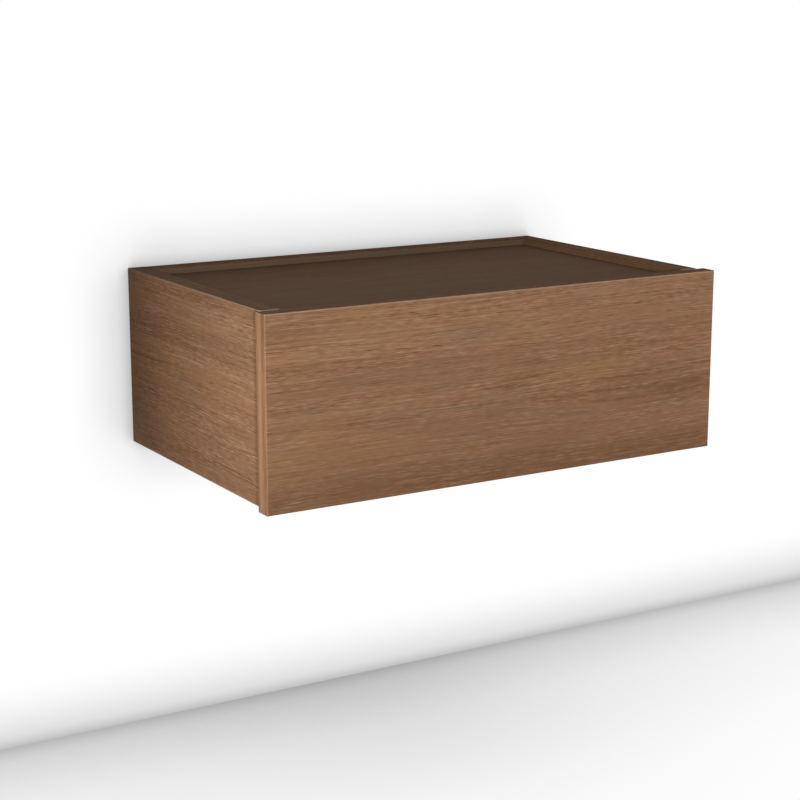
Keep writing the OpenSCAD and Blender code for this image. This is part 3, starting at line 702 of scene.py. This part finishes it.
def backdrop(name, shadows, bounce):
    """Matt white backdrop that shows white, with soft contact shadows.

    It is seen from its front only, so that it hides nothing from behind. shadows are pairs of
    how far a shadow reaches and how deep it is, and bounce is the grey that lights the shelf back.
    """
    made, tree = new_material(name)
    white = 1.0
    for reach, depth in shadows:
        contact = add(tree, "ShaderNodeAmbientOcclusion", {"Distance": reach}, samples=16)
        shade = add(tree, "ShaderNodeMath", {0: contact.outputs["AO"], 1: depth}, operation="POWER")
        white = add(tree, "ShaderNodeMath", {0: shade.outputs[0], 1: white},
                    operation="MULTIPLY").outputs[0]
    seen = add(tree, "ShaderNodeEmission", {"Color": white, "Strength": 1.0})
    matt = add(tree, "ShaderNodeBsdfDiffuse", {"Color": (bounce, bounce, bounce)})
    front = add(tree, "ShaderNodeMixShader", {0: looked_at(tree), 1: matt.outputs[0],
                2: seen.outputs[0]})
    clear = add(tree, "ShaderNodeBsdfTransparent")
    behind = add(tree, "ShaderNodeNewGeometry").outputs["Backfacing"]
    shader = add(tree, "ShaderNodeMixShader", {0: behind, 1: front.outputs[0], 2: clear.outputs[0]})
    add(tree, "ShaderNodeOutputMaterial", {"Surface": shader.outputs[0]})
    return made


def rectangle(low_u, low_v, high_u, high_v):
    """The four corners of a rectangle, in turn."""
    return [(low_u, low_v), (high_u, low_v), (high_u, high_v), (low_u, high_v)]


def screen(name, material, turn, outline, hole=None):
    """Flat backdrop with a rectangular outline, and round a rectangular hole if one is given.

    Both are low u, low v, high u and high v, and turn takes a u and v to a place.
    """
    mesh = bpy.data.meshes.new(name)
    form = bmesh.new()
    outer = [form.verts.new(turn(u, v)) for u, v in rectangle(*outline)]
    if hole:
        inner = [form.verts.new(turn(u, v)) for u, v in rectangle(*hole)]
        for i in range(4):
            j = (i + 1) % 4
            form.faces.new((outer[i], outer[j], inner[j], inner[i]))
    else:
        form.faces.new(outer)
    form.to_mesh(mesh)
    form.free()
    mesh.materials.append(material)
    made = bpy.data.objects.new(name, mesh)
    bpy.context.scene.collection.objects.link(made)
    made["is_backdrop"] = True


def softbox(name, place, aim, side, power):
    """Square area lamp at place that faces aim and isn't seen itself."""
    lamp = bpy.data.lights.new(name, "AREA")
    lamp.shape = "SQUARE"
    lamp.size = side
    lamp.energy = power
    made = bpy.data.objects.new(name, lamp)
    bpy.context.scene.collection.objects.link(made)
    made.location = place
    made.rotation_mode = "QUATERNION"
    made.rotation_quaternion = (Vector(aim) - Vector(place)).to_track_quat("-Z", "Y")
    made.visible_camera = False
    made.visible_glossy = False


def place_camera(scene, stage):
    """Sets the camera where the stage's settings say."""
    lens = bpy.data.cameras.new("camera")
    lens.sensor_width = 36
    lens.lens = stage.lens
    camera = bpy.data.objects.new("camera", lens)
    scene.collection.objects.link(camera)
    camera.location = stage.camera_place
    camera.rotation_euler = (math.pi / 2 - stage.view_elevation, 0, stage.view_azimuth)
    scene.camera = camera


def hang_backdrops(stage):
    """Sets up the floor, and the wall with a hole behind the shelf, so that its back shows."""
    # How far the floor and the wall go on past the view, and the room round the shelf's back
    reach = 4.0
    gap = 0.1 * MM
    floor = stage.floor_level
    left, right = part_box("left_side")[0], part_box("right_side")[1]
    hole = (left.x + gap, left.z + gap, right.x - gap, right.z - gap)
    wall_shadows = ((68 * MM, 0.6), (14 * MM, 0.35))
    floor_shadows = ((420 * MM, 0.35), (160 * MM, 0.35), (40 * MM, 0.35))
    screen("wall", backdrop("matt_white_wall", wall_shadows, 0.25),
           lambda u, v: (u, WALL + gap, v), (-reach, floor, reach, reach), hole)
    screen("floor", backdrop("matt_white_floor", floor_shadows, 0.6),
           lambda u, v: (u, v, floor), (-reach, -reach, reach, reach))


def hang_lamps(stage):
    """Sets up the lamps round the shelf."""
    low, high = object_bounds()
    middle = Vector((0, (low.y + high.y) / 2, 0))
    # Place, side and power of each lamp that faces the middle of the shelf
    lamps = {"key_lamp": ((-1.2, -2.4, 0.55), 0.6, stage.key_power),
             "level_lamp": ((-0.3, -2.4, -0.1), 0.5, stage.level_power),
             "top_lamp": ((-0.2, -1.8, 1.5), 1.0, stage.top_power),
             "back_lamp": ((0.4, 2.2, 0.8), 1.2, stage.back_power)}
    for name, (place, side, power) in lamps.items():
        softbox(name, place, middle, side, power)
    # The lamp of each side panel is level with the drawer front and faces a place behind it
    off, behind, small = 200 * MM, 45 * MM, 0.2
    for name, x in (("left_lamp", low.x), ("right_lamp", high.x)):
        place = Vector((x + math.copysign(off, x), low.y, 0))
        aim = Vector((x, low.y + behind, 0))
        softbox(name, place, aim, small, stage.side_power)


def light_world(scene, stage):
    """Gives the world its weak light, and a white look."""
    world = bpy.data.worlds.new("studio")
    scene.world = world
    world.use_nodes = True
    tree = world.node_tree
    tree.nodes.clear()
    light = add(tree, "ShaderNodeBackground", {"Color": WHITE, "Strength": stage.ambient})
    seen = add(tree, "ShaderNodeBackground", {"Color": WHITE, "Strength": 1.0})
    both = add(tree, "ShaderNodeMixShader", {0: looked_at(tree), 1: light.outputs[0],
               2: seen.outputs[0]})
    add(tree, "ShaderNodeOutputWorld", {"Surface": both.outputs[0]})


class SHELF_OT_stage(Operator):
    """Sets up the camera, the lamps, the floor and the wall"""

    bl_idname = "shelf.stage"
    bl_label = "Stage"

    def execute(self, context):
        scene = context.scene
        place_camera(scene, scene.shelf_stage)
        hang_backdrops(scene.shelf_stage)
        hang_lamps(scene.shelf_stage)
        light_world(scene, scene.shelf_stage)
        scene.view_settings.view_transform = "Standard"
        return {"FINISHED"}


OPERATORS = (SHELF_OT_stage, SHELF_OT_carcass, SHELF_OT_carcass_bands, SHELF_OT_drawer_front,
             SHELF_OT_drawer_box, SHELF_OT_slides, SHELF_OT_fittings)


class SHELF_PT_sidebar(Panel):
    """Lists the shelf's settings and steps"""

    bl_idname = "SHELF_PT_sidebar"
    bl_label = "Wall Shelf"
    bl_space_type = "VIEW_3D"
    bl_region_type = "UI"
    bl_category = "Shelf"

    def draw(self, context):
        layout = self.layout
        for group in (context.scene.shelf_stage, context.scene.shelf_finish):
            box = layout.box()
            for name in group.__annotations__:
                box.prop(group, name)
        for operator in OPERATORS:
            layout.operator(operator.bl_idname)


CLASSES = (ShelfFinish, ShelfStage, *OPERATORS, SHELF_PT_sidebar)


def register():
    for cls in CLASSES:
        bpy.utils.register_class(cls)
    bpy.types.Scene.shelf_finish = PointerProperty(type=ShelfFinish)
    bpy.types.Scene.shelf_stage = PointerProperty(type=ShelfStage)


def unregister():
    del bpy.types.Scene.shelf_stage
    del bpy.types.Scene.shelf_finish
    for cls in reversed(CLASSES):
        bpy.utils.unregister_class(cls)


def main():
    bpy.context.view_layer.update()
    register()
    bpy.ops.shelf.stage()
    bpy.ops.shelf.carcass()
    bpy.ops.shelf.carcass_bands()
    bpy.ops.shelf.drawer_front()
    bpy.ops.shelf.drawer_box()
    bpy.ops.shelf.slides()
    bpy.ops.shelf.fittings()


if __name__ == "__main__":
    main()
